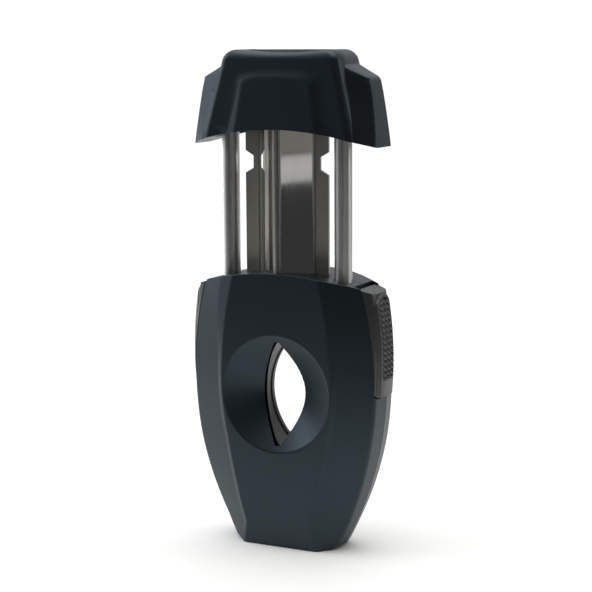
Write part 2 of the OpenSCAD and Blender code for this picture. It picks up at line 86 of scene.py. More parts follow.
# Height, half depth of the side wall, then inset and half depth of the chamfer band's outer and inner edges
LEVELS = [
    (-1.0, 4.2, 2.2, 6.1, 3.2, 6.8),
    (5.5, 3.7, 7.0, 7.55, 8.0, 8.35),
    (14.0, 4.3, 8.4, 7.95, 9.35, 8.72),
    (24.0, 4.8, 9.0, 8.15, 10.1, 8.9),
    (31.0, 4.8, 8.8, 8.15, 9.9, 8.9),
    (38.0, 4.8, 8.6, 8.1, 9.7, 8.9),
    (45.0, 4.8, 8.3, 8.05, 9.8, 8.9),
    (51.0, 4.8, 7.4, 7.9, 9.7, 8.9),
    (58.0, 4.8, 6.4, 7.7, 9.5, 8.9),
    (68.0, 4.8, 4.9, 7.3, 8.9, 8.9),
]
SCREW_SPOTS = ((8.5, 6.5, 5.4), (18.9, 26.5, 4.2))
PIN_SPOT = (4.5, 15.0)
ROD_X, ROD_Y = 14.1, -2.4
PAD_HALF, PAD_ARCH_Z = 2.9, 55.8

# Blade and cup
VEE_RISE = 0.884
NOSE_Y = -8.3
WING_Y = -1.9
CUP_Z = 36.1
CONE_RISE = 0.605
CUP_R = 13.465
SLOT_X = 5.2
SLOT_Y = -3.9
EYE_R = 16.45


# ---------------------------------------------------------------- modelling tools

def only(obj):
    """Makes obj the active object and the only selected one."""
    bpy.ops.object.select_all(action="DESELECT")
    obj.select_set(True)
    bpy.context.view_layer.objects.active = obj


@contextlib.contextmanager
def editing(obj, mode="VERT"):
    """Edit mode on obj with nothing selected."""
    only(obj)
    bpy.ops.object.mode_set(mode="EDIT")
    bpy.ops.mesh.select_mode(type=mode)
    bpy.ops.mesh.select_all(action="DESELECT")
    yield
    bpy.ops.object.mode_set(mode="OBJECT")


def settle(obj, name):
    """Names a new primitive and puts its place into its mesh."""
    obj.name = obj.data.name = name
    only(obj)
    bpy.ops.object.transform_apply(location=True, rotation=True, scale=True)
    return obj


def block(low, high, name="block"):
    """A box between two corners, in millimetres."""
    low, high = Vector(low) * MM, Vector(high) * MM
    bpy.ops.mesh.primitive_cube_add(size=1, location=(low + high) / 2)
    obj = bpy.context.object
    obj.scale = high - low
    return settle(obj, name)


def bar(centre, radius, start, end, axis="Y", sides=32, name="bar"):
    """A round bar along an axis; centre holds the other two coordinates, in millimetres."""
    middle = (start + end) / 2
    if axis == "Y":
        place, turn = (centre[0], middle, centre[1]), (math.pi / 2, 0, 0)
    else:
        place, turn = (centre[0], centre[1], middle), (0, 0, 0)
    bpy.ops.mesh.primitive_cylinder_add(
        vertices=sides, radius=radius * MM, depth=(end - start) * MM,
        location=Vector(place) * MM, rotation=turn)
    return settle(bpy.context.object, name)


def turned(profile, x, z, sides=96, name="turned"):
    """A solid of revolution about a line along Y, from (radius, y) pairs in millimetres."""
    radius, y = profile[0]
    bpy.ops.mesh.primitive_circle_add(
        vertices=sides, radius=radius * MM, fill_type="NGON",
        location=(x * MM, y * MM, z * MM), rotation=(math.pi / 2, 0, 0))
    obj = settle(bpy.context.object, name)
    with editing(obj, "FACE"):
        bpy.ops.mesh.select_all(action="SELECT")
        for next_radius, next_y in profile[1:]:
            bpy.ops.mesh.extrude_region_move(
                TRANSFORM_OT_translate={"value": (0, (next_y - y) * MM, 0)})
            ratio = next_radius / radius
            bpy.ops.transform.resize(value=(ratio, 1, ratio))
            radius, y = next_radius, next_y
        face_out()
    return obj


def face_out():
    """Turns all faces of the mesh in edit mode outwards."""
    bpy.ops.mesh.select_all(action="SELECT")
    bpy.ops.mesh.normals_make_consistent(inside=False)


def key(point):
    return tuple(round(c / MM * 500 + 0.25) for c in point)


def loft(sections, runs=(), name="loft"):
    """A closed solid through equal rings of points in millimetres, drawn by extruding ring after ring.

    runs holds (point numbers, width, segments) of the lengthwise edges that are bevelled."""
    count = len(sections[0])
    bpy.ops.mesh.primitive_circle_add(vertices=count, radius=0.05, fill_type="NGON")
    obj = settle(bpy.context.object, name)
    places = [v.co.copy() for v in obj.data.vertices]
    with editing(obj, "VERT"):
        for section in sections:
            goal = [Vector(p) * MM for p in section]
            if section is not sections[0]:
                bpy.ops.mesh.extrude_region_move()
            bm = bmesh.from_edit_mesh(obj.data)
            number = {key(p): i for i, p in enumerate(places)}
            ring = {number[key(v.co)]: v for v in bm.verts if v.select or section is sections[0]}
            for i, vert in ring.items():
                bpy.ops.mesh.select_all(action="DESELECT")
                vert.select = True
                bpy.ops.transform.translate(value=goal[i] - vert.co)
            for vert in ring.values():
                vert.select = True
            bm.select_flush(True)
            bmesh.update_edit_mesh(obj.data)
            places = goal
        face_out()
        for numbers, width, segments in runs:
            lines = [{key(Vector(s[i]) * MM) for s in sections} for i in numbers]
            bm = bmesh.from_edit_mesh(obj.data)
            bpy.ops.mesh.select_all(action="DESELECT")
            bpy.ops.mesh.select_mode(type="EDGE")
            for edge in bm.edges:
                ends = [key(v.co) for v in edge.verts]
                edge.select = any(all(end in line for end in ends) for line in lines)
            bm.select_flush_mode()
            bmesh.update_edit_mesh(obj.data)
            bpy.ops.mesh.bevel(offset=width * MM, segments=segments, affect="EDGES")
    return obj


def combine(obj, tool, how="DIFFERENCE"):
    """Cuts, joins or intersects obj with tool, which is used up."""
    only(obj)
    mod = obj.modifiers.new("combine", "BOOLEAN")
    mod.operation = how
    mod.solver = "MANIFOLD"
    mod.object = tool
    bpy.ops.object.modifier_apply(modifier=mod.name)
    bpy.data.objects.remove(tool)
    if not obj.data.polygons:
        raise RuntimeError(f"{obj.name} was lost by {how}")
    return obj


def soft_edges(obj, width, test, segments=3):
    """Bevels the edges that test(edge) picks; widths in millimetres."""
    with editing(obj, "EDGE"):
        bpy.ops.mesh.select_all(action="SELECT")
        bpy.ops.mesh.remove_doubles(threshold=0.002 * MM)
        bpy.ops.mesh.dissolve_limited(angle_limit=math.radians(0.2))
        bpy.ops.mesh.select_all(action="DESELECT")
        bm = bmesh.from_edit_mesh(obj.data)
        for edge in bm.edges:
            edge.select = len(edge.link_faces) == 2 and test(edge)
        bm.select_flush_mode()
        bmesh.update_edit_mesh(obj.data)
        bpy.ops.mesh.bevel(offset=width * MM, segments=segments, affect="EDGES", clamp_overlap=True)
    return obj


def radius_of(vert, x, z):
    """Distance of a vertex from a line along Y, in millimetres."""
    return math.hypot(vert.co.x / MM - x, vert.co.z / MM - z)


def on_arch(edge, radius, centre_z, cut=None):
    """True for an edge that lies on a cylinder along Y and has one face there and one elsewhere."""
    if any(abs(radius_of(v, 0, centre_z) - radius) > 0.03 for v in edge.verts):
        return False
    radial = []
    middle = (edge.verts[0].co + edge.verts[1].co) / 2
    out = Vector((middle.x, 0, middle.z - centre_z * MM)).normalized()
    for face in edge.link_faces:
        radial.append(abs(face.normal.dot(out)) > 0.97)
    return radial.count(True) == 1 and (cut is None or cut(middle / MM))


def smooth(obj, angle=32):
    """Smooth shading with crisp edges, flat faces kept flat."""
    only(obj)
    bpy.ops.object.shade_smooth_by_angle(angle=math.radians(angle))
    mod = obj.modifiers.new("weigh", "WEIGHTED_NORMAL")
    mod.keep_sharp = True
    mod.weight = 80
    bpy.ops.object.modifier_apply(modifier=mod.name)
    return obj


def duplicate(obj, name, shift=(0, 0, 0)):
    """A copy of obj with its own mesh, moved by shift in millimetres."""
    twin = obj.copy()
    twin.data = obj.data.copy()
    twin.name = twin.data.name = name
    bpy.context.scene.collection.objects.link(twin)
    twin.location = Vector(shift) * MM
    return settle(twin, name)


def mirrored(obj, name):
    """A copy of obj on the other side of the middle plane, with its faces turned outwards."""
    twin = duplicate(obj, name)
    twin.scale = (-1, 1, 1)
    settle(twin, name)
    with editing(twin, "FACE"):
        face_out()
    return twin


def dress(obj, node, material, body=None):
    """Gives a finished piece its material and its place in the table, and hides the node it stands for."""
    obj.data.materials.clear()
    obj.data.materials.append(material)
    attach(obj, body or frame["nodes"][node]["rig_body"])
    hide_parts(node)
    return obj


def refined(node, material, edge=0.0, angle=30, segments=2, corner=0.0):
    """A copy of a CAD node with merged faces, small rounded edges and smooth shading.

    corner rounds the corners of a flat sheet's outer parts."""
    source = frame["nodes"][node]
    obj = bpy.data.objects.new(node + "_finished", source.data.copy())
    obj.data.name = obj.name
    bpy.context.scene.collection.objects.link(obj)
    obj.data.materials.clear()
    with editing(obj, "VERT"):
        bpy.ops.mesh.select_all(action="SELECT")
        bpy.ops.mesh.customdata_custom_splitnormals_clear()
        bpy.ops.mesh.remove_doubles(threshold=0.002 * MM)
        bpy.ops.mesh.dissolve_limited(angle_limit=math.radians(0.3))
    if corner:
        soft_edges(obj, corner, sheet_corner, 4)
    if edge:
        only(obj)
        mod = obj.modifiers.new("edges", "BEVEL")
        mod.width = edge * MM
        mod.segments = segments
        mod.limit_method = "ANGLE"
        mod.angle_limit = math.radians(angle)
        bpy.ops.object.modifier_apply(modifier=mod.name)
    smooth(obj, angle)
    return dress(obj, node, material)


def sheet_corner(edge):
    """True for the short edges through the sheet at the corners of the blade's wings."""
    a, b = (v.co / MM for v in edge.verts)
    return abs(a.x - b.x) < 0.01 and abs(a.z - b.z) < 0.01 and abs(a.x) > 7.6 and a.z > 30


# ---------------------------------------------------------------- shapes

def side_w(z):
    return math.sqrt(SIDE_R ** 2 - (z - WIDE_Z) ** 2) - SIDE_R + sizes().half_width / MM


def sizes():
    return bpy.context.scene.cutter_sizes


def arch_z():
    """Height of the centre of the body's arched top."""
    return sizes().body_top / MM - ARCH_R


def level_at(z):
    """Values of LEVELS at a height: straight between the lower rows, smooth above them."""
    i = max(k for k in range(len(LEVELS) - 1) if LEVELS[k][0] <= z or k == 0)
    a, b = LEVELS[i], LEVELS[i + 1]
    t = (z - a[0]) / (b[0] - a[0])
    if i < 2:
        return [p + (q - p) * t for p, q in zip(a[1:], b[1:])]
    before, after = LEVELS[i - 1], LEVELS[min(i + 2, len(LEVELS) - 1)]
    out = []
    for k in range(1, len(a)):
        span = b[0] - a[0]
        m0 = (b[k] - before[k]) / (b[0] - before[0]) * span
        m1 = (after[k] - a[k]) / (after[0] - a[0]) * span
        t2, t3 = t * t, t ** 3
        out.append((2 * t3 - 3 * t2 + 1) * a[k] + (t3 - 2 * t2 + t) * m0
                   + (3 * t2 - 2 * t3) * b[k] + (t3 - t2) * m1)
    out[4] = min(out[4], 8.89)
    return out


def half_ring(face, z, inset=0.0, start=0.0):
    """Outline of one half of the body at a height, from one side of the middle plane to the other."""
    side_y, out_in, out_y, in_in, in_y = level_at(z)
    width = side_w(z)
    if z < FOOT_R:
        width = min(width, FOOT_X + math.sqrt(max(0.0, FOOT_R ** 2 - (FOOT_R - z) ** 2)))
    right = [
        (width - inset, start),
        (width - EDGE_IN - inset, side_y - inset),
        (side_w(z) - out_in - inset / 2, out_y - inset),
        (side_w(z) - in_in - inset / 2, in_y - inset),
    ]
    ring = right + [(-x, y) for x, y in reversed(right)]
    return [(x, face * y, z) for x, y in ring]


def half_solid(face, inset=0.0, start=0.0, runs=(), name="half"):
    """One half of the body as a solid, moved inwards by inset."""
    low = inset
    heights = [low, low + 0.35, low + 0.9, low + 1.7, low + 2.7, 4.2, 5.5, 8, 11, 14]
    heights += [14 + 2 * i for i in range(1, 28)]
    obj = loft([half_ring(face, z, inset, start) for z in heights], runs, name)
    arch = turned([(ARCH_R - inset, -12), (ARCH_R - inset, 12)], 0, arch_z(), sides=360)
    return combine(obj, arch, "INTERSECT")


def button_edge(z):
    """Furthest x of the right button at a height."""
    return 24.2 - (z - 44) ** 2 / (2 * 85)


def button_ring(z, drop=0.0):
    """Outline of the right button at a height: inner face, front flank, edge strip, crowned side face and back."""
    edge = button_edge(z)
    depth = 4.8 if z > 37.2 else 3.7 + 1.1 * (z - 36.5) / 0.7
    strip = min(depth - 0.1, 4.15)
    flank = min(side_w(z) - EDGE_IN + 0.08, edge - 1.15)
    right = [(18.8, depth), (flank, depth), (edge - 1.0 - drop / 4, strip - drop / 8),
             (edge - 0.28 - drop, min(strip - 0.05, 3.35)), (edge - drop, 1.9)]
    return [(x, -y, z) for x, y in right] + [(x, y, z) for x, y in reversed(right)]


BUTTON_Z = [36.5, 36.8, 37.2, 39.5] + [39.5 + 1.5 * i for i in range(1, 16)]


def button_hole():
    """Room that the right button takes out of the shells, with a narrow joint round it."""
    rows = []
    for z in BUTTON_Z + [72]:
        y = button_ring(min(z, 61))[-1][1] + 0.14
        low = z - 0.26 if z < 38 else z
        rows.append([(17.7, -y, low), (32, -y, low), (32, y, low), (17.7, y, low)])
    return loft(rows)


def pad_outline(grow=0.0, arch=PAD_ARCH_Z, foot=40.6):
    """Outline of a grip pad as (y, z) points: an arched top over a straight strip."""
    half = PAD_HALF + grow
    points = [(-half, foot - grow), (half, foot - grow)]
    for i in range(17):
        turn = math.pi * i / 16
        points.append((half * math.cos(turn), arch + half * math.sin(turn)))
    return points


def channel():
    """The path of the folded blade through the body, with its clearance."""
    back, reach, front = WING_Y + 0.45, 10.7, WING_Y - 0.55
    nose = NOSE_Y - 0.2
    flat = -8.01
    flank, tip = (front - nose) / VEE_RISE, (flat - nose) / VEE_RISE
    outline = [(-reach, front), (-flank, front), (-tip, flat), (tip, flat),
               (flank, front), (reach, front), (reach, back), (-reach, back)]
    return loft([[(x, y, z) for x, y in outline] for z in (15.5, 75)])


def eye(inset, y0, y1):
    """The eye-shaped slot as a solid along Y."""
    half = math.asin(math.sqrt(1 - ((EYE_R - SLOT_X) / EYE_R) ** 2))
    outline = []
    for side in (RIGHT, LEFT):
        for i in range(24):
            turn = half * (2 * i / 24 - 1)
            x = side * ((EYE_R - inset) * math.cos(turn) - (EYE_R - SLOT_X))
            outline.append((x, CUP_Z + side * (EYE_R - inset) * math.sin(turn)))
    return loft([[(x, y, z) for x, z in outline] for y in (y0, y1)])


def cup_profile():
    """Radius and y of the cup: a conical dish whose rim runs softly into the front face."""
    bend, slope = 1.6, math.atan(CONE_RISE)
    reach = bend * math.tan(slope / 2)
    profile = [(CUP_R + reach, -11), (CUP_R + reach, -9.4)]
    for i in range(9):
        turn = slope * i / 8
        profile.append((CUP_R + reach - bend * math.sin(turn), -8.9 + bend - bend * math.cos(turn)))
    profile.append((SLOT_X - 1.2 / CONE_RISE, SLOT_Y + 1.2))
    return profile


# ---------------------------------------------------------------- materials

def nodes_of(name):
    mat = bpy.data.materials.new(name)
    mat.use_nodes = True
    tree = mat.node_tree
    return mat, tree, tree.nodes["Principled BSDF"]


def add(tree, kind, **values):
    """A node with some of its properties and inputs set."""
    node = tree.nodes.new(kind)
    for label, value in values.items():
        if hasattr(node, label):
            setattr(node, label, value)
        else:
            node.inputs[label.replace("_", " ")].default_value = value
    return node


def noise(tree, scale, stretch=(1, 1, 1), detail=3.0):
    """Noise on the piece's own coordinates; stretch sets its grain along each axis."""
    place = add(tree, "ShaderNodeTexCoord")
    sized = add(tree, "ShaderNodeMapping")
    sized.inputs["Scale"].default_value = stretch
    tree.links.new(place.outputs["Object"], sized.inputs["Vector"])
    node = add(tree, "ShaderNodeTexNoise", Scale=scale, Detail=detail, Roughness=0.6)
    tree.links.new(sized.outputs["Vector"], node.inputs["Vector"])
    return node.outputs["Fac"]


def spread(tree, source, low, high, start=0.3, end=0.7):
    """Maps a noise value onto a range."""
    node = add(tree, "ShaderNodeMapRange")
    for label, value in (("From Min", start), ("From Max", end), ("To Min", low), ("To Max", high)):
        node.inputs[label].default_value = value
    tree.links.new(source, node.inputs["Value"])
    return node.outputs["Result"]


def mix_colors(tree, factor, one, two):
    node = add(tree, "ShaderNodeMix", data_type="RGBA")
    tree.links.new(factor, node.inputs["Factor"])
    for socket, value in ((node.inputs[6], one), (node.inputs[7], two)):
        if isinstance(value, tuple):
            socket.default_value = (*value, 1)
        else:
            tree.links.new(value, socket)
    return node.outputs[2]


def mix_values(tree, factor, one, two):
    node = add(tree, "ShaderNodeMix")
    tree.links.new(factor, node.inputs["Factor"])
    for socket, value in ((node.inputs[2], one), (node.inputs[3], two)):
        if isinstance(value, float):
            socket.default_value = value
        else:
            tree.links.new(value, socket)
    return node.outputs[0]


def edge_mask(tree, reach):
    """1 along rounded and worn edges, 0 on open faces."""
    bevel = add(tree, "ShaderNodeBevel", samples=6, Radius=reach * MM)
    shape = add(tree, "ShaderNodeNewGeometry")
    dot = add(tree, "ShaderNodeVectorMath", operation="DOT_PRODUCT")
    tree.links.new(bevel.outputs["Normal"], dot.inputs[0])
    tree.links.new(shape.outputs["Normal"], dot.inputs[1])
    return spread(tree, dot.outputs["Value"], 1.0, 0.0, 0.90, 0.995)


def finish(name, color, other, rough, metallic=0.0, grain=600.0, stretch=(1, 1, 1), bump=0.05,
           worn=None, wear=0.5, reach=0.35, streaks=0.0, **sockets):
    """A finish with fine grain in colour, roughness and relief, large soft variation, and worn edges.

    streaks darkens lines of the grain by that share."""
    mat, tree, shader = nodes_of(name)
    fine = noise(tree, grain, stretch)
    broad = noise(tree, 55.0, detail=2.0)
    tone = mix_colors(tree, spread(tree, broad, 0.0, 1.0), color, other)
    low, high = rough
    roughness = mix_values(tree, spread(tree, fine, 0.0, 1.0), low, high)
    if streaks:
        lines = spread(tree, noise(tree, grain / 3, stretch, 1.0), 0.0, streaks, 0.42, 0.62)
        tone = mix_colors(tree, lines, tone, (0.0, 0.0, 0.0))
    if worn:
        edge = edge_mask(tree, reach)
        patchy = add(tree, "ShaderNodeMath", operation="MULTIPLY")
        tree.links.new(edge, patchy.inputs[0])
        tree.links.new(spread(tree, noise(tree, 220.0), 0.2 * wear, wear), patchy.inputs[1])
        tone = mix_colors(tree, patchy.outputs[0], tone, worn)
    tree.links.new(tone, shader.inputs["Base Color"])
    tree.links.new(roughness, shader.inputs["Roughness"])
    relief = add(tree, "ShaderNodeBump", Strength=bump, Distance=0.05 * MM)
    tree.links.new(fine, relief.inputs["Height"])
    tree.links.new(relief.outputs["Normal"], shader.inputs["Normal"])
    shader.inputs["Metallic"].default_value = metallic
    for label, value in sockets.items():
        shader.inputs[label.replace("_", " ")].default_value = value
    return mat


def blade_material():
    """Mirror-polished V with a ground nose and bends, between two satin wings."""
    mat, tree, shader = nodes_of("blade_steel")
    place = add(tree, "ShaderNodeTexCoord")
    parts = add(tree, "ShaderNodeSeparateXYZ")
    tree.links.new(place.outputs["Object"], parts.inputs["Vector"])
    side = add(tree, "ShaderNodeMath", operation="ABSOLUTE")
    tree.links.new(parts.outputs["X"], side.inputs[0])
    distance = side.outputs[0]
    wing = spread(tree, distance, 0.0, 1.0, 7.1 * MM, 7.3 * MM)
    nose = spread(tree, distance, 1.0, 0.0, 0.95 * MM, 1.15 * MM)
    bend = spread(tree, distance, 0.0, 1.0, 6.5 * MM, 6.7 * MM)
    ground = add(tree, "ShaderNodeMath", operation="MAXIMUM")
    tree.links.new(nose, ground.inputs[0])
    tree.links.new(bend, ground.inputs[1])
    lines = noise(tree, 5200.0, (1, 1, 0.004))
    stripes = noise(tree, 1500.0, (1, 1, 0.004), 1.0)
    broad = noise(tree, 70.0, (1, 1, 0.4))
    satin = mix_colors(tree, spread(tree, broad, 0.0, 1.0), (0.44, 0.42, 0.37), (0.54, 0.52, 0.46))
    brushed = mix_colors(tree, spread(tree, stripes, 0.0, 1.0, 0.42, 0.58), (0.25, 0.24, 0.215), (0.62, 0.60, 0.56))
    mirror = mix_colors(tree, spread(tree, broad, 0.0, 1.0), (0.60, 0.585, 0.56), (0.66, 0.65, 0.63))
    tone = mix_colors(tree, ground.outputs[0], mirror, brushed)
    tree.links.new(mix_colors(tree, wing, tone, satin), shader.inputs["Base Color"])
    dull = spread(tree, lines, 0.34, 0.46)
    rubbed = spread(tree, lines, 0.26, 0.40)
    clear = spread(tree, lines, 0.03, 0.07)
    tree.links.new(mix_values(tree, wing, mix_values(tree, ground.outputs[0], clear, rubbed), dull),
                   shader.inputs["Roughness"])
    relief = add(tree, "ShaderNodeBump", Distance=0.01 * MM)
    tree.links.new(spread(tree, ground.outputs[0], 0.01, 0.12, 0.0, 1.0), relief.inputs["Strength"])
    tree.links.new(lines, relief.inputs["Height"])
    tree.links.new(relief.outputs["Normal"], shader.inputs["Normal"])
    shader.inputs["Metallic"].default_value = 1.0
    return mat


def materials():
    """All finishes, made once."""
    if not hasattr(materials, "made"):
        look = bpy.context.scene.cutter_finishes
        shell, steel = tuple(look.shell), tuple(look.steel)
        button = tuple(look.button)
        materials.made = {
            "shell": finish("matte_black", shell, tuple(c * 1.5 for c in shell), (0.38, 0.45),
                            grain=2600.0, bump=0.10, worn=(0.02, 0.026, 0.033), wear=0.35,
                            Specular_IOR_Level=0.6, Specular_Tint=(0.64, 0.84, 1, 1)),
            "button": finish("gunmetal", button, tuple(c * 1.3 for c in button), (0.34, 0.44),
                             metallic=0.75, grain=1800.0, bump=0.12, worn=(0.16, 0.16, 0.155),
                             wear=0.6, reach=0.2),
            "pad": finish("gunmetal_grip", tuple(c * 0.9 for c in button), button, (0.36, 0.48),
                          metallic=0.7, grain=1500.0, bump=0.15, worn=(0.42, 0.43, 0.44),
                          wear=0.7, reach=0.15),
            "blade": blade_material(),
            "rod": finish("rod_steel", steel, tuple(c * 0.82 for c in steel), (0.32, 0.42),
                          metallic=1.0, grain=5000.0, stretch=(1, 1, 0.004), bump=0.004, streaks=0.3),
            "steel": finish("plain_steel", tuple(c * 0.9 for c in steel), tuple(c * 0.7 for c in steel),
                            (0.25, 0.40), metallic=1.0, grain=1400.0, bump=0.10,
                            worn=(0.75, 0.74, 0.72), wear=0.4, reach=0.15),
            # Very dark guide colour: painted shade for the guide wall seen deep inside the cup, laid over the steel's
            # own grey.
            "guide": finish("machined_steel_painted_shade", (0.13, 0.13, 0.125), (0.10, 0.10, 0.097), (0.42, 0.55),
                            metallic=1.0, grain=1100.0, stretch=(1, 1, 0.2), bump=0.15,
                            worn=(0.25, 0.25, 0.24), wear=0.4, reach=0.15),
            "bronze": finish("bronze", (0.42, 0.29, 0.13), (0.33, 0.22, 0.10), (0.25, 0.4),
                             metallic=1.0, grain=1500.0, bump=0.1),
        }
    return materials.made


# ---------------------------------------------------------------- operators

class BuildStep:
    """What every step of the model shares."""
    bl_options = {"REGISTER", "UNDO"}

    def execute(self, context):
        self.build()
        return {"FINISHED"}


def shell_cuts(obj, face):
    """Openings that both halves of the body have."""
    for side in (LEFT, RIGHT):
        hole = button_hole()
        if side == LEFT:
            twin = mirrored(hole, "hole")
            bpy.data.objects.remove(hole)
            hole = twin
        combine(obj, hole)
    for x, z, head in SCREW_SPOTS:
        for side in (LEFT, RIGHT):
            start, end = (-3.6, head) if face == REAR else (-3.6, 0.5)
            combine(obj, bar((side * x, z), 1.0, start, end + 0.01))
            if face == REAR:
                combine(obj, bar((side * x, z), 1.9, head, 12))
    for side in (LEFT, RIGHT):
        x, z = PIN_SPOT
        combine(obj, bar((side * x, z), 0.9, *((-4, 1) if face == FRONT else (-1, 6))))
        combine(obj, bar((side * 20.2, 38.6), 0.8, -5.45, 5.45))
    return obj


def unite(tools):
    first = tools[0]
    for tool in tools[1:]:
        combine(first, tool, "UNION")
    return first


class CUTTER_OT_front_shell(BuildStep, bpy.types.Operator):
    """Models the front half of the body: raised panel, chamfer bands, soft-rimmed cup and openings"""
    bl_idname = "cutter.front_shell"
    bl_label = "Front shell"

    def build(self):
        obj = outer_half(FRONT, "front_body")
        hollow = half_solid(FRONT, WALL, 0.6, name="hollow")
        combine(obj, hollow)
        ribs = [turned([(CUP_R + 1.6, -8.3), (SLOT_X + 1.7, SLOT_Y + 0.9)], 0, CUP_Z)]
        for side in (LEFT, RIGHT):
            x, pivot = side * ROD_X, side * 20.2
            ribs.append(block((x - 2.4, -7, 2), (x + 2.4, -0.05, 9)))
            ribs.append(block((x - 3.4, -7, 45.6), (x + 3.4, -0.05, 50.6)))
            ribs.append(block((pivot - 1.6, -6, 37), (pivot + 1.6, -5.1, 40.2)))
            ribs.append(bar((side * PIN_SPOT[0], PIN_SPOT[1]), 1.8, -8, -0.05))
            for sx, sz, head in SCREW_SPOTS:
                ribs.append(bar((side * sx, sz), 2.0, -6, -0.05))
        ribs = combine(unite(ribs), half_solid(FRONT, 0.5, -0.2), "INTERSECT")
        combine(obj, ribs, "UNION")
        combine(obj, turned(cup_profile(), 0, CUP_Z, sides=128))
        combine(obj, eye(0.25, -10, 1))
        combine(obj, channel())
        for side in (LEFT, RIGHT):
            x = side * ROD_X
            combine(obj, bar((x, ROD_Y), 2.8, 10.7, 51.01, "Z", 48))
            combine(obj, bar((x, ROD_Y), 2.2, 9, 11, "Z", 48))
            combine(obj, bar((x, ROD_Y), 2.15, 50, 72, "Z", 48))
            combine(obj, bar((x, ROD_Y), 0.6, 5.5, 10, "Z", 24))
        combine(obj, block((-18.6, -2.8, 53.2), (18.6, 1, 58.9)))
        shell_cuts(obj, FRONT)
        smooth(obj)
        dress(obj, "front_shell", materials()["shell"])


class CUTTER_OT_rear_shell(BuildStep, bpy.types.Operator):
    """Models the rear half of the body with its round mouth and the recesses of the screws"""
    bl_idname = "cutter.rear_shell"
    bl_label = "Rear shell"

    def build(self):
        obj = outer_half(REAR, "rear_body")
        combine(obj, half_solid(REAR, WALL, 0.6, name="hollow"))
        ribs = [turned([(13.3, 1.3), (15.1, 8.3)], 0, CUP_Z)]
        for side in (LEFT, RIGHT):
            pivot = side * 20.2
            ribs.append(block((pivot - 1.6, 5.1, 37), (pivot + 1.6, 6, 40.2)))
            ribs.append(bar((side * PIN_SPOT[0], PIN_SPOT[1]), 1.8, 1.3, 8))
            for sx, sz, head in SCREW_SPOTS:
                ribs.append(bar((side * sx, sz), 2.3, 0.05, 7))
        ribs = combine(unite(ribs), half_solid(REAR, 0.5, -0.2), "INTERSECT")
        combine(obj, ribs, "UNION")
        slope = (13.6 - 11.8) / (8.9 - 1.3)
        mouth = [(11.8 - slope, 0.3), (13.4, 8.2), (13.75, 8.6), (14.3, 8.9), (14.3, 11)]
        combine(obj, turned(mouth, 0, CUP_Z, sides=128))
        for side in (LEFT, RIGHT):
            combine(obj, bar((side * ROD_X, ROD_Y), 2.8, 10.7, 72, "Z", 48))
            combine(obj, bar((side * ROD_X, ROD_Y), 2.2, 7.5, 11, "Z", 48))
        combine(obj, block((-18.4, -1, 52.1), (18.4, 3.1, 59.3)))
        combine(obj, block((-10.5, -1, 17.9), (10.5, 1.25, 52.2)))
        shell_cuts(obj, REAR)
        smooth(obj)
        dress(obj, "rear_shell", materials()["shell"])


def outer_half(face, name):
    """Outside of one half of the body with softened edges and a narrow groove along the parting line."""
    runs = [((1, 6), 0.7, 3), ((2, 5), 0.35, 2), ((3, 4), 0.35, 2)]
    obj = half_solid(face, runs=runs, name=name)
    soft_edges(obj, 0.55, lambda e: on_arch(e, ARCH_R, arch_z(), lambda p: abs(p.y) > 0.3))
    soft_edges(obj, 0.3, lambda e: all(abs(v.co.z) < 1e-6 for v in e.verts)
               and any(abs(v.co.y) > 1e-5 for v in e.verts)
               and sum(abs(f.normal.z) > 0.9 for f in e.link_faces) == 1, 2)
    soft_edges(obj, 0.14, lambda e: all(abs(v.co.y) < 1e-6 for v in e.verts)
               and sum(abs(f.normal.y) > 0.99 for f in e.link_faces) == 1, 1)
    return obj


class CUTTER_OT_cap(BuildStep, bpy.types.Operator):
    """Models the plunger's cap: side wings, middle tier, raised panels and arched rim"""
    bl_idname = "cutter.cap"
    bl_label = "Cap"

    def build(self):
        top = sizes().cap_top / MM
        rim_z = sizes().body_top / MM + 32.15
        rows = [tier_ring(z) for z in (90.5, 97, 103, 108, top - 2.2)]
        rows += [tier_ring(0, turn=math.radians(a)) for a in (18, 36, 54, 72, 90)]
        rows += [tier_ring(0, turn=math.pi / 2, squeeze=f) for f in (0.5, 0.01)]
        obj = loft(rows, name="cap_body")
        wing = loft([wing_ring(*row) for row in WING_ROWS], [((1, 2), 0.9, 4)], "wing")
        soft_edges(wing, 0.8, lambda e: all(abs(v.co.z / MM - 107.2) < 0.15 for v in e.verts)
                   and all(v.co.x / MM > 18 for v in e.verts) and abs(e.verts[0].co.y - e.verts[1].co.y) > 0.001)
        other = mirrored(wing, "wing_left")
        combine(obj, wing, "UNION")
        combine(obj, other, "UNION")
        for face in (FRONT, REAR):
            combine(obj, badge(face), "UNION")
        combine(obj, turned([(ARCH_R, -20), (ARCH_R, 20)], 0, rim_z - ARCH_R, sides=360))
        soft_edges(obj, 0.3, lambda e: on_arch(e, ARCH_R, rim_z - ARCH_R), 2)
        hollow = block((-17.25, -4.85, 80), (17.25, 3.45, 104.5))
        inner = [tier_ring(z, 1.9) for z in (85, 90.5, 104.5)]
        combine(hollow, loft(inner), "UNION")
        combine(obj, hollow)
        nose = channel()
        nose.location.z = 23.5 * MM
        settle(nose, "nose")
        combine(obj, nose)
        for side in (LEFT, RIGHT):
            combine(obj, bar((side * 4.6, 1.6), 1.0, 103.5, 108.5, "Z"))
        smooth(obj, 28)
        dress(obj, "cap", materials()["shell"])


# Height, then x and half depth of a wing's inner edge and of its outer edge
WING_ROWS = (
    (90.5, 18.8, 8.0, 22.95, 4.1), (95.0, 18.3, 7.3, 22.65, 3.5), (100.0, 17.3, 6.1, 22.05, 3.1),
    (104.0, 16.4, 5.2, 21.4, 3.0), (107.2, 15.4, 4.6, 20.7, 3.0), (108.7, 14.6, 4.4, 17.7, 3.5),
    (110.2, 13.6, 4.1, 14.9, 3.9),
)


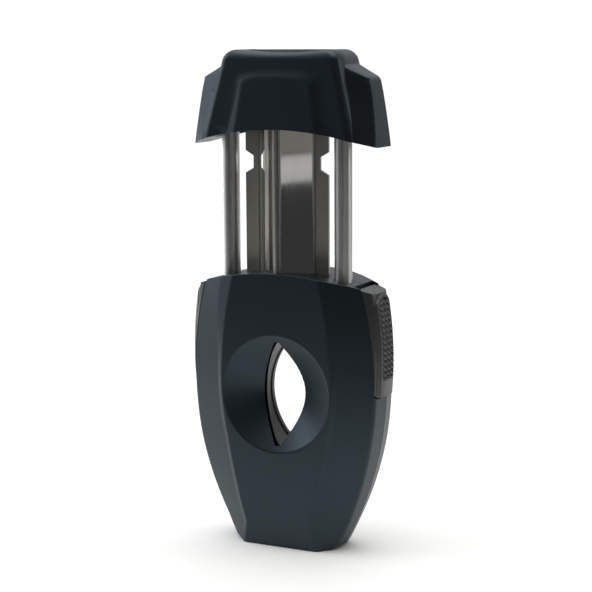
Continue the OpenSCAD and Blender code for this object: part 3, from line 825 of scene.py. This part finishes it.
def wing_ring(z, inner_x, inner_y, outer_x, outer_y):
    """Outline of the cap's right wing at a height."""
    front = [(10, inner_y), (inner_x, inner_y), (outer_x, outer_y)]
    ring = [(10, -inner_y, z), (inner_x, -inner_y, z), (outer_x, -outer_y, z)]
    return ring + [(x, y, z) for x, y in reversed(front)]


def tier_ring(z, inset=0.0, turn=0.0, squeeze=1.0):
    """Outline of the cap's middle tier with round corners; turn takes it over the rounded top edge."""
    top = sizes().cap_top / MM
    if turn:
        z = top - 2.2 + 2.2 * math.sin(turn)
    t, over = max(0.0, (z - 91) / (top - 91)), 1 - math.cos(turn)
    front_x, front_y = 19.1 - 5.5 * t - 2.2 * over, 8.35 - 1.9 * t - 1.2 * over
    side_x, side_y = 20.3 - 6.0 * t - 2.2 * over, 5.2 - 1.4 * t - 1.0 * over
    front = [(front_x * i / 4, -front_y) for i in range(-4, 5)]
    half = front + [(side_x, -side_y)]
    ring = [Vector(p) for p in half + [(-x, -y) for x, y in half]]
    ring = [p - Vector((math.copysign(inset, p.x), math.copysign(inset, p.y))) if inset else p for p in ring]
    points = []
    for i, corner in enumerate(ring):
        before, after = ring[i - 1] - corner, ring[(i + 1) % len(ring)] - corner
        if i % 10 in range(1, 8):
            points.append(corner)
            continue
        start = corner + before.normalized() * min(1.5, before.length / 2.2)
        end = corner + after.normalized() * min(1.5, after.length / 2.2)
        for k in range(5):
            u = k / 4
            points.append(start * (1 - u) ** 2 + corner * 2 * u * (1 - u) + end * u ** 2)
    dip = 0.7 * math.sin(turn)
    return [(p.x, p.y * squeeze, z - dip * (1 - min(1, abs(p.x) / front_x) ** 2)) for p in points]


def badge(face):
    """Raised panel on one face of the cap, with sloping sides and an arched top."""
    rows = []
    for depth, grow in ((4.0, 2.5), (8.26, 2.5), (8.74, 0.75), (8.85, 0.3), (8.9, -0.3)):
        points = [(10.4 + grow, 90.5), (8.2 + grow, 105.2 + 0.7 * grow)]
        for i in range(1, 12):
            turn = math.pi * i / 12
            x = (8.2 + grow) * math.copysign(abs(math.cos(turn)) ** 0.6, math.cos(turn))
            points.append((x, 105.2 + 0.7 * grow + (1.9 + grow * 0.3) * math.sin(turn) ** 0.8))
        points += [(-8.2 - grow, 105.2 + 0.7 * grow), (-10.4 - grow, 90.5)]
        rows.append([(x, face * max(2.0, depth - (z - 92) * 0.088), z) for x, z in points])
    return loft(rows, name="badge")


class CUTTER_OT_buttons(BuildStep, bpy.types.Operator):
    """Models the two side buttons with their flanks, edge strips, hinge eyes and pockets"""
    bl_idname = "cutter.buttons"
    bl_label = "Buttons"

    def build(self):
        runs = [((1, 8), 0.18, 2), ((2, 7), 0.2, 2), ((3, 6), 0.15, 2)]
        obj = loft([button_ring(z) for z in BUTTON_Z], runs, "button_body")
        frame_shape = loft([[(x, y, z) for y, z in pad_outline(1.3, 55.3, 36)] for x in (18, 27)])
        combine(obj, frame_shape, "INTERSECT")
        soft_edges(obj, 0.16, lambda e: on_frame(e), 2)
        combine(obj, loft([button_ring(z, 0.45) for z in BUTTON_Z], runs), "UNION")
        arch = turned([(ARCH_R - 0.35, -10), (ARCH_R - 0.35, 10)], 0, arch_z(), sides=360)
        combine(obj, arch, "INTERSECT")
        soft_edges(obj, 0.55, lambda e: on_arch(e, ARCH_R - 0.35, arch_z(), lambda p: p.x > 19.2), 3)
        combine(obj, pad_solid(-0.22, 1.5, 0.3))
        combine(obj, pad_solid(-0.9, 1.5, 0.0))
        left = mirrored(obj, "button_left_body")
        for side, piece, name, start in ((RIGHT, obj, "button_right", 0.0), (LEFT, left, "button_left", 1.1)):
            arm_low, arm_high = sorted((side * 17.1, side * 19.2))
            combine(piece, block((arm_low, -1.8, 54.6), (arm_high, -0.15, 57.8)), "UNION")
            combine(piece, bar((side * 17.7, 56.2), 0.5, -0.5, start + 1.1), "UNION")
            combine(piece, bar((side * 20.2, 38.6), 0.84, -10, 10))
            combine(piece, bar((side * 20.2, 38.6), 1.8, -4.6, -2.5))
            smooth(piece, 30)
            piece.name = piece.data.name = name + "_finished"
            dress(piece, name, materials()["button"])


def on_frame(edge):
    """True for the edges along the arched top of a button's raised frame."""
    reach = PAD_HALF + 1.3
    return all(v.co.z / MM > 55.4 and abs(math.hypot(v.co.y / MM, v.co.z / MM - 55.3) - reach) < 0.04
               and v.co.x > 0.021 for v in edge.verts)


def pad_solid(low, high, grow):
    """A slab under a grip pad's outline, between two offsets from the button's outer curve."""
    slab = []
    for i in range(23):
        z = 39.5 + i
        edge = button_edge(z)
        slab.append([(edge + low, -5, z), (edge + high, -5, z), (edge + high, 5, z), (edge + low, 5, z)])
    outline = loft([[(x, y, z) for y, z in pad_outline(grow)] for x in (19, 27)])
    return combine(loft(slab), outline, "INTERSECT")


class CUTTER_OT_grip_pads(BuildStep, bpy.types.Operator):
    """Models the grip pads with rows of zigzag ridges"""
    bl_idname = "cutter.grip_pads"
    bl_label = "Grip pads"

    def build(self):
        ridge = []
        for i in range(8):
            y = -3.3 + 0.943 * i
            z = 0.3 if i % 2 else -0.3
            ridge.append([(-0.7, y, z - 0.56), (0.0, y, z - 0.1), (0.0, y, z + 0.1), (-0.7, y, z + 0.56)])
        strip = loft(ridge, [((1, 2), 0.06, 1)], "ridge")
        pad = pad_solid(-0.9, -0.55, -0.02)
        ridges = None
        for i in range(14):
            z = 41.5 + sizes().ridge_pitch / MM * i
            twin = duplicate(strip, "ridge", (button_edge(z) - 0.02, 0, z))
            ridges = combine(ridges, twin, "UNION") if ridges else twin
        combine(ridges, pad_solid(-0.85, 0.3, -0.08), "INTERSECT")
        combine(pad, ridges, "UNION")
        bpy.data.objects.remove(strip)
        left = mirrored(pad, "grip_left")
        for piece, node in ((pad, "grip_pad_right"), (left, "grip_pad_left")):
            smooth(piece, 35)
            piece.name = piece.data.name = node + "_finished"
            dress(piece, node, materials()["pad"])


class CUTTER_OT_blade(BuildStep, bpy.types.Operator):
    """Finishes the folded blade: rounded sheet edges, mirror V and satin wings"""
    bl_idname = "cutter.blade"
    bl_label = "Blade"

    def build(self):
        refined("v_blade", materials()["blade"], edge=0.07, angle=28, corner=0.5)


class CUTTER_OT_rods(BuildStep, bpy.types.Operator):
    """Finishes the two guide rods and their stop collars"""
    bl_idname = "cutter.rods"
    bl_label = "Rods"

    def build(self):
        for side in ("left", "right"):
            refined("rod_" + side, materials()["rod"], edge=0.15)
            refined("stop_collar_" + side, materials()["steel"], edge=0.15)


class CUTTER_OT_inner_works(BuildStep, bpy.types.Operator):
    """Finishes the parts inside: guide, tray, bushings, pins, springs, screws, insert and latch plates"""
    bl_idname = "cutter.inner_works"
    bl_label = "Inner works"

    def build(self):
        made = materials()
        # The guide look carries painted shade in its dark colour; the latch tray and the cap insert share it with the
        # blade guide.
        for node, look, slot, edge in (
            ("blade_guide", "guide", "guide", 0.2), ("latch_tray", "guide", "guide", 0.15),
            ("cap_insert", "guide", "guide", 0.2), ("housing_screws", "steel", "steel", 0.08),
            ("locating_pins", "steel", "steel", 0.1), ("cap_screws", "steel", "steel", 0.08),
            ("blade_pins", "steel", "steel", 0.1),
        ):
            refined(node, made[look], edge)
        for side in ("left", "right"):
            for stem, look, slot, edge in (
                ("bushing", "bronze", "bearing", 0.15), ("guide_pin", "steel", "steel", 0.1),
                ("pivot_pin", "steel", "steel", 0.1), ("torsion_spring", "steel", "steel", 0),
                ("return_spring", "steel", "steel", 0), ("latch", "steel", "steel", 0.1),
            ):
                obj = refined(stem + "_" + side, made[look], edge, angle=50 if "spring" in stem else 30)
                if stem == "return_spring":
                    low, high = (f(v.co.z for v in obj.data.vertices) for f in (min, max))
                    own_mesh(obj)


def softbox(name, place, aim, size, power, color):
    """A rectangular studio light, in metres and watts."""
    bpy.ops.object.light_add(type="AREA", location=place)
    light = bpy.context.object
    light.name = name
    light.data.shape = "RECTANGLE"
    light.data.size, light.data.size_y = size
    light.data.energy = power
    light.data.color = color
    light.rotation_mode = "QUATERNION"
    light.rotation_quaternion = (Vector(aim) - Vector(place)).to_track_quat("-Z", "Y")
    return light


class CUTTER_OT_stage(BuildStep, bpy.types.Operator):
    """Adds the white floor, the soft studio lights and the camera"""
    bl_idname = "cutter.stage"
    bl_label = "Stage"

    def build(self):
        look = bpy.context.scene.cutter_finishes
        bpy.ops.mesh.primitive_circle_add(
            vertices=96, radius=0.32, fill_type="NGON", location=(-0.04, 0.19, 0))
        floor = settle(bpy.context.object, "floor")
        with editing(floor, "FACE"):
            bpy.ops.mesh.select_all(action="SELECT")
            bpy.ops.mesh.inset(thickness=0.05)
        mat, tree, shader = nodes_of("white_paper")
        paper = mix_colors(tree, spread(tree, noise(tree, 40.0), 0.0, 1.0), (0.93, 0.93, 0.93), (0.95, 0.95, 0.95))
        tree.links.new(paper, shader.inputs["Base Color"])
        shader.inputs["Roughness"].default_value = 0.8
        floor.data.materials.append(mat)
        aim = (0, 0, 0.055)
        softbox("key", (-0.62, -0.20, 0.42), aim, (0.35, 0.5), look.key_power, (0.90, 0.95, 1.0))
        softbox("side", (0.62, 0.30, 0.30), aim, (0.3, 0.5), look.side_power, (1, 0.98, 0.95))
        for name, height, z, power, color in (("band", 0.011, 0.0625, 0.0030, (1, 1, 1)),
                                              ("brown", 0.048, 0.0935, 0.0042, (1, 0.90, 0.80))):
            card = softbox(name, (0.249, -0.170, z), (0.0035, -0.0052, 0.086), (0.16, height), power, color)
            card.visible_camera = False
        card = softbox("backdrop", (-0.2825, 0.0938, 0.044), (-0.0035, -0.0052, 0.08), (0.08, 0.10), 0.062, (1, 1, 1))
        card.visible_camera = False
        bpy.ops.object.light_add(type="SUN", location=(0, 0, 1))
        sun = bpy.context.object
        sun.name = "overhead"
        sun.data.energy = look.overhead
        sun.data.angle = math.radians(70)
        sun.data.color = (1, 0.97, 0.92)
        self.room(look)
        bpy.context.scene.view_settings.view_transform = "Standard"
        self.camera()

    def room(self, look):
        """White where the camera sees it; for light and reflections bright behind and at the left, dark in front."""
        world = bpy.context.scene.world or bpy.data.worlds.new("studio")
        bpy.context.scene.world = world
        world.use_nodes = True
        tree = world.node_tree
        tree.nodes.clear()
        place = add(tree, "ShaderNodeTexCoord")
        dot = add(tree, "ShaderNodeVectorMath", operation="DOT_PRODUCT")
        dot.inputs[1].default_value = Vector(look.bright_side).normalized()
        tree.links.new(place.outputs["Generated"], dot.inputs[0])
        ramp = add(tree, "ShaderNodeMapRange", interpolation_type="SMOOTHSTEP")
        for label, value in (("From Min", -0.15), ("From Max", 0.75), ("To Min", look.room_dark), ("To Max", look.room_bright)):
            ramp.inputs[label].default_value = value
        tree.links.new(dot.outputs["Value"], ramp.inputs["Value"])
        seen = add(tree, "ShaderNodeBackground", Color=(1, 1, 1, 1), Strength=1.05)
        glow = add(tree, "ShaderNodeBackground", Color=(0.93, 0.97, 1, 1))
        tree.links.new(ramp.outputs["Result"], glow.inputs["Strength"])
        path = add(tree, "ShaderNodeLightPath")
        both = add(tree, "ShaderNodeMixShader")
        out = add(tree, "ShaderNodeOutputWorld")
        tree.links.new(path.outputs["Is Camera Ray"], both.inputs[0])
        tree.links.new(glow.outputs[0], both.inputs[1])
        tree.links.new(seen.outputs[0], both.inputs[2])
        tree.links.new(both.outputs[0], out.inputs[0])

    def camera(self):
        """A long lens a little above the object, to the right of its front."""
        view = bpy.context.scene.cutter_view
        turn, drop, roll = view.azimuth, view.elevation, view.roll
        back = Vector((math.sin(turn) * math.cos(drop), -math.cos(turn) * math.cos(drop), math.sin(drop)))
        right = Vector((math.cos(turn), math.sin(turn), 0))
        up = back.cross(right)
        eye = Vector((0, -0.0024, 0.060)) + back * view.distance + right * 0.002009 - up * 0.002106
        rolled = right * math.cos(roll) + up * math.sin(roll)
        upright = up * math.cos(roll) - right * math.sin(roll)
        bpy.ops.object.camera_add()
        camera = bpy.context.object
        camera.data.sensor_width = 36
        camera.data.lens = view.lens
        camera.data.clip_start = 0.01
        axes = Matrix((rolled, upright, back)).transposed()
        camera.matrix_world = Matrix.Translation(eye) @ axes.to_4x4()
        bpy.context.scene.camera = camera


# ---------------------------------------------------------------- settings, panel, registration

class CutterSizes(bpy.types.PropertyGroup):
    """Main sizes of the detailed surfaces"""
    half_width: bpy.props.FloatProperty(
        name="Half width", description="Half width of the body at its widest height",
        default=0.0236, unit="LENGTH", precision=5)
    body_top: bpy.props.FloatProperty(
        name="Body top", description="Height of the arched top at its middle",
        default=0.0637, unit="LENGTH", precision=5)
    cap_top: bpy.props.FloatProperty(
        name="Cap top", description="Height of the cap's top edge with the plunger up",
        default=0.11335, unit="LENGTH", precision=5)
    ridge_pitch: bpy.props.FloatProperty(
        name="Ridge pitch", description="Spacing of the ridges on the grip pads",
        default=0.00124, unit="LENGTH", precision=5)


class CutterFinishes(bpy.types.PropertyGroup):
    """Colours of the finishes and strengths of the lights"""
    shell: bpy.props.FloatVectorProperty(
        name="Shell", description="Matte colour of the body and the cap",
        default=(0.0045, 0.0060, 0.0078), subtype="COLOR", min=0, max=1)
    button: bpy.props.FloatVectorProperty(
        name="Button", description="Gunmetal colour of the buttons",
        default=(0.064, 0.066, 0.066), subtype="COLOR", min=0, max=1)
    steel: bpy.props.FloatVectorProperty(
        name="Steel", description="Colour of the rods",
        default=(0.80, 0.79, 0.77), subtype="COLOR", min=0, max=1)
    key_power: bpy.props.FloatProperty(
        name="Key light", description="Power of the large light at the left",
        default=1.6, unit="POWER", min=0)
    side_power: bpy.props.FloatProperty(
        name="Side light", description="Power of the light at the right, behind",
        default=1.0, unit="POWER", min=0)
    overhead: bpy.props.FloatProperty(
        name="Overhead light", description="Strength of the even light from above",
        default=2.4, min=0)
    room_dark: bpy.props.FloatProperty(
        name="Room, dark side", description="Strength of the room's light in front", default=0.05, min=0)
    room_bright: bpy.props.FloatProperty(
        name="Room, bright side", description="Strength of the room's light behind", default=0.75, min=0)
    bright_side: bpy.props.FloatVectorProperty(
        name="Bright side", description="Direction the room's light comes from",
        default=(-0.72, 0.62, 0.30), subtype="DIRECTION")


class CutterView(bpy.types.PropertyGroup):
    """Place of the camera"""
    azimuth: bpy.props.FloatProperty(
        name="Azimuth", description="Turn of the camera round the object",
        default=math.radians(26.4646), unit="ROTATION")
    elevation: bpy.props.FloatProperty(
        name="Elevation", description="Height angle of the camera",
        default=math.radians(9.0373), unit="ROTATION")
    roll: bpy.props.FloatProperty(
        name="Roll", description="Turn of the camera about its axis",
        default=math.radians(-0.3686), unit="ROTATION")
    distance: bpy.props.FloatProperty(
        name="Distance", description="Distance of the camera from the middle of the object",
        default=0.37413, unit="LENGTH")
    lens: bpy.props.FloatProperty(
        name="Lens", description="Focal length on a 36 mm sensor", default=100.151, min=10)


STEPS = (
    CUTTER_OT_front_shell, CUTTER_OT_rear_shell, CUTTER_OT_cap, CUTTER_OT_buttons,
    CUTTER_OT_grip_pads, CUTTER_OT_blade, CUTTER_OT_rods, CUTTER_OT_inner_works, CUTTER_OT_stage,
)


class VIEW3D_PT_cutter(bpy.types.Panel):
    """Steps and settings of the cutter"""
    bl_label = "Cutter"
    bl_space_type = "VIEW_3D"
    bl_region_type = "UI"
    bl_category = "Cutter"

    def draw(self, context):
        column = self.layout.column()
        for step in STEPS:
            column.operator(step.bl_idname)
        for group in (context.scene.cutter_sizes, context.scene.cutter_finishes, context.scene.cutter_view):
            box = self.layout.box()
            for label in group.__annotations__:
                box.prop(group, label)


CLASSES = (CutterSizes, CutterFinishes, CutterView, *STEPS, VIEW3D_PT_cutter)


def register():
    for cls in CLASSES:
        bpy.utils.register_class(cls)
    bpy.types.Scene.cutter_sizes = bpy.props.PointerProperty(type=CutterSizes)
    bpy.types.Scene.cutter_finishes = bpy.props.PointerProperty(type=CutterFinishes)
    bpy.types.Scene.cutter_view = bpy.props.PointerProperty(type=CutterView)


def unregister():
    del bpy.types.Scene.cutter_sizes
    del bpy.types.Scene.cutter_finishes
    del bpy.types.Scene.cutter_view
    for cls in reversed(CLASSES):
        bpy.utils.unregister_class(cls)


def main():
    register()
    for step in STEPS:
        group, name = step.bl_idname.split(".")
        getattr(getattr(bpy.ops, group), name)()


if __name__ == "__main__":
    main()
